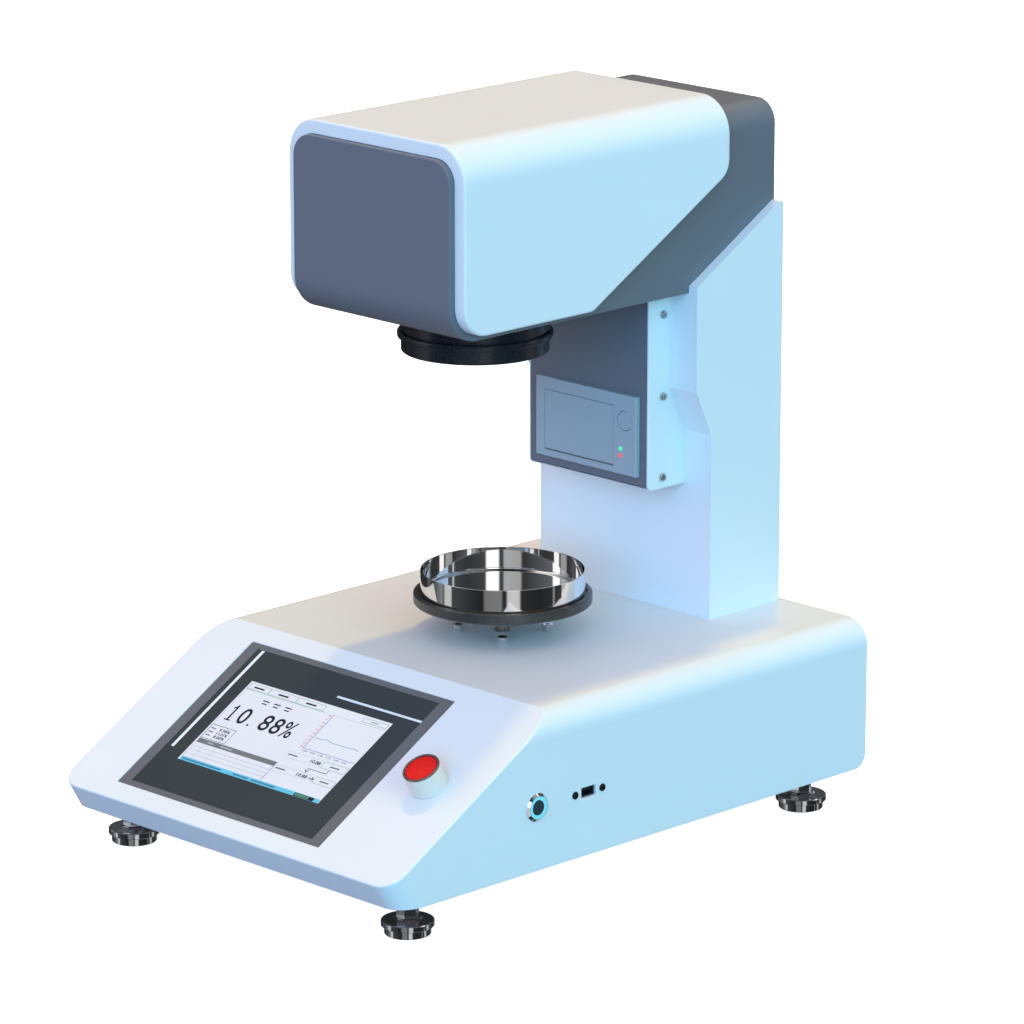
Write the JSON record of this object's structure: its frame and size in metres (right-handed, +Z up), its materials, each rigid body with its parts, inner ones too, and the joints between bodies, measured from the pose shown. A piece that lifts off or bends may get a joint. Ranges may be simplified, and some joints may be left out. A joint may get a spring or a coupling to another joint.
{
  "type": "near-infrared moisture analyzer",
  "caption": "Bench-top near-infrared moisture analyzer: overhanging measuring head with a round lens above a turning sample dish, sloping touch display, start button and slip printer.",
  "frame": {"origin": "centre of the overall bounding box's footprint, on the bench under the feet", "axes": "+Z up, -Y towards the operator (front with the display), +X the operator's right, the side with the power button"},
  "size_m": [0.374, 0.5204, 0.5647],
  "materials": {
    "casing_white": "satin white powder coat",
    "casing_dark": "satin dark slate powder coat",
    "shell_white": "satin white",
    "chrome": "polished",
    "steel": "turned",
    "zinc": "zinc plated",
    "turntable_dark": "dark anodised, fine grain",
    "lens_black": "black anodised",
    "lens_glass": "clear",
    "display_grey": "fine texture",
    "display_black": "glossy",
    "display_lit": "lit screen",
    "black_plastic": "matt",
    "button_white": "glossy",
    "button_ring": "glossy",
    "button_red": "glossy",
    "light_ring": "lit",
    "plunger_dark": "dark polished",
    "black_steel": "blackened",
    "board_green": "solder mask",
    "supply_case": "plain",
    "motor_black": "matt",
    "printer_slate": "matt",
    "printer_button": "matt",
    "indicator": "lit",
    "rubber": "matt",
    "paper": "plain",
    "filter_metal": "black anodised",
    "lamp_metal": "polished reflector"
  },
  "bodies": {
    "instrument": {"base_plate": "zinc", "base_plate_screws": "zinc", "base_shell": "casing_white", "column_bolts": "steel", "column_rear_cover": "casing_white", "column_shell": "casing_white", "detector_board": "board_green", "filter_motor": "motor_black", "foot_nuts": "zinc", "head_core": "casing_dark", "head_rear_cover": "casing_dark", "head_shell": "shell_white", "hmi_bezel": "display_grey", "hmi_housing": "black_plastic", "hmi_overlay": "display_black", "hmi_screen": "display_lit", "infrared_lamp": "lamp_metal", "lens_barrel": "lens_black", "lens_hood": "lens_black", "lens_ring": "lens_black", "lens_window": "lens_glass", "main_board": "board_green", "mains_inlet": "black_plastic", "motor_screws": "steel", "optics_plate": "supply_case", "power_button_bezel": "chrome", "power_button_light": "light_ring", "power_supply": "supply_case", "printer_body": "printer_slate", "printer_box": "casing_white", "printer_box_screws": "steel", "printer_front_panel": "casing_dark", "printer_leds": "indicator", "rear_cover_screws": "steel", "shaft_seal": "steel", "start_button_collar": "button_white", "start_button_ring": "button_ring", "start_switch_block": "black_plastic", "turntable_motor": "motor_black", "usb_screws": "black_steel", "usb_socket": "black_plastic", "usb_tongue": "black_plastic"},
    "start_button": {"start_button_cap": "button_red"},
    "power_button": {"power_button_plunger": "plunger_dark"},
    "turntable": {"turntable": "turntable_dark", "drive_shaft": "steel"},
    "sample_dish": {"sample_dish": "chrome"},
    "printer_door": {"printer_door": "printer_slate"},
    "platen": {"platen_roller": "rubber"},
    "paper_roll": {"paper_roll": "paper"},
    "feed_button": {"printer_button": "printer_button"},
    "filter_wheel": {"filter_wheel": "filter_metal"},
    "foot_front_left": {"foot_pad_front_left": "chrome"},
    "stud_front_left": {"foot_stud_front_left": "chrome"},
    "foot_front_right": {"foot_pad_front_right": "chrome"},
    "stud_front_right": {"foot_stud_front_right": "chrome"},
    "foot_rear_left": {"foot_pad_rear_left": "chrome"},
    "stud_rear_left": {"foot_stud_rear_left": "chrome"},
    "foot_rear_right": {"foot_pad_rear_right": "chrome"},
    "stud_rear_right": {"foot_stud_rear_right": "chrome"}
  },
  "joints": [
    {"name": "foot_front_left_height", "type": "slide", "parent": "instrument", "child": "foot_front_left", "axis": [0, 0, 1], "range_m": [-0.01, 0]},
    {"name": "foot_front_left_turn", "type": "hinge", "parent": "foot_front_left", "child": "stud_front_left", "pos_m": [-0.15165, -0.21501, 0.02], "axis": [0, 0, 1], "range_deg": [-2400, 0]},
    {"name": "foot_front_right_height", "type": "slide", "parent": "instrument", "child": "foot_front_right", "axis": [0, 0, 1], "range_m": [-0.01, 0]},
    {"name": "foot_front_right_turn", "type": "hinge", "parent": "foot_front_right", "child": "stud_front_right", "pos_m": [0.15555, -0.21501, 0.02], "axis": [0, 0, 1], "range_deg": [-2400, 0]},
    {"name": "foot_rear_left_height", "type": "slide", "parent": "instrument", "child": "foot_rear_left", "axis": [0, 0, 1], "range_m": [-0.01, 0]},
    {"name": "foot_rear_left_turn", "type": "hinge", "parent": "foot_rear_left", "child": "stud_rear_left", "pos_m": [-0.15165, 0.21489, 0.02], "axis": [0, 0, 1], "range_deg": [-2400, 0]},
    {"name": "foot_rear_right_height", "type": "slide", "parent": "instrument", "child": "foot_rear_right", "axis": [0, 0, 1], "range_m": [-0.01, 0]},
    {"name": "foot_rear_right_turn", "type": "hinge", "parent": "foot_rear_right", "child": "stud_rear_right", "pos_m": [0.15555, 0.21489, 0.02], "axis": [0, 0, 1], "range_deg": [-2400, 0]},
    {"name": "turntable_spin", "type": "hinge", "parent": "instrument", "child": "turntable", "pos_m": [0.00195, 0.03549, 0.176], "axis": [0, 0, 1], "continuous": true},
    {"name": "dish_lift", "type": "slide", "parent": "turntable", "child": "sample_dish", "axis": [0, 0, 1], "range_m": [0, 0.15]},
    {"name": "start_button_press", "type": "slide", "parent": "instrument", "child": "start_button", "axis": [0, 0.5045, -0.8634], "range_m": [0, 0.004], "stiffness_N_per_m": 600, "springref_m": -0.002},
    {"name": "power_button_press", "type": "slide", "parent": "instrument", "child": "power_button", "axis": [-1, 0, 0], "range_m": [0, 0.002], "stiffness_N_per_m": 1200, "springref_m": -0.001},
    {"name": "printer_door_hinge", "type": "hinge", "parent": "instrument", "child": "printer_door", "pos_m": [-0.00435, 0.12759, 0.2741], "axis": [1, 0, 0], "range_deg": [0, 90]},
    {"name": "platen_spin", "type": "hinge", "parent": "printer_door", "child": "platen", "pos_m": [-0.00435, 0.13599, 0.3125], "axis": [1, 0, 0], "continuous": true},
    {"name": "paper_roll_spin", "type": "hinge", "parent": "instrument", "child": "paper_roll", "pos_m": [-0.00455, 0.15849, 0.2915], "axis": [1, 0, 0], "continuous": true},
    {"name": "feed_button_press", "type": "slide", "parent": "instrument", "child": "feed_button", "axis": [0, 1, 0], "range_m": [0, 0.0015], "stiffness_N_per_m": 800, "springref_m": -0.0005},
    {"name": "filter_wheel_spin", "type": "hinge", "parent": "instrument", "child": "filter_wheel", "pos_m": [0.00195, 0.03989, 0.47], "axis": [0, 0, 1], "continuous": true}
  ],
  "couplings": [
    {"joint": "foot_front_left_turn", "follows": "foot_front_left_height", "rad_per_m": 4188.8},
    {"joint": "foot_front_right_turn", "follows": "foot_front_right_height", "rad_per_m": 4188.8},
    {"joint": "foot_rear_left_turn", "follows": "foot_rear_left_height", "rad_per_m": 4188.8},
    {"joint": "foot_rear_right_turn", "follows": "foot_rear_right_height", "rad_per_m": 4188.8}
  ]
}
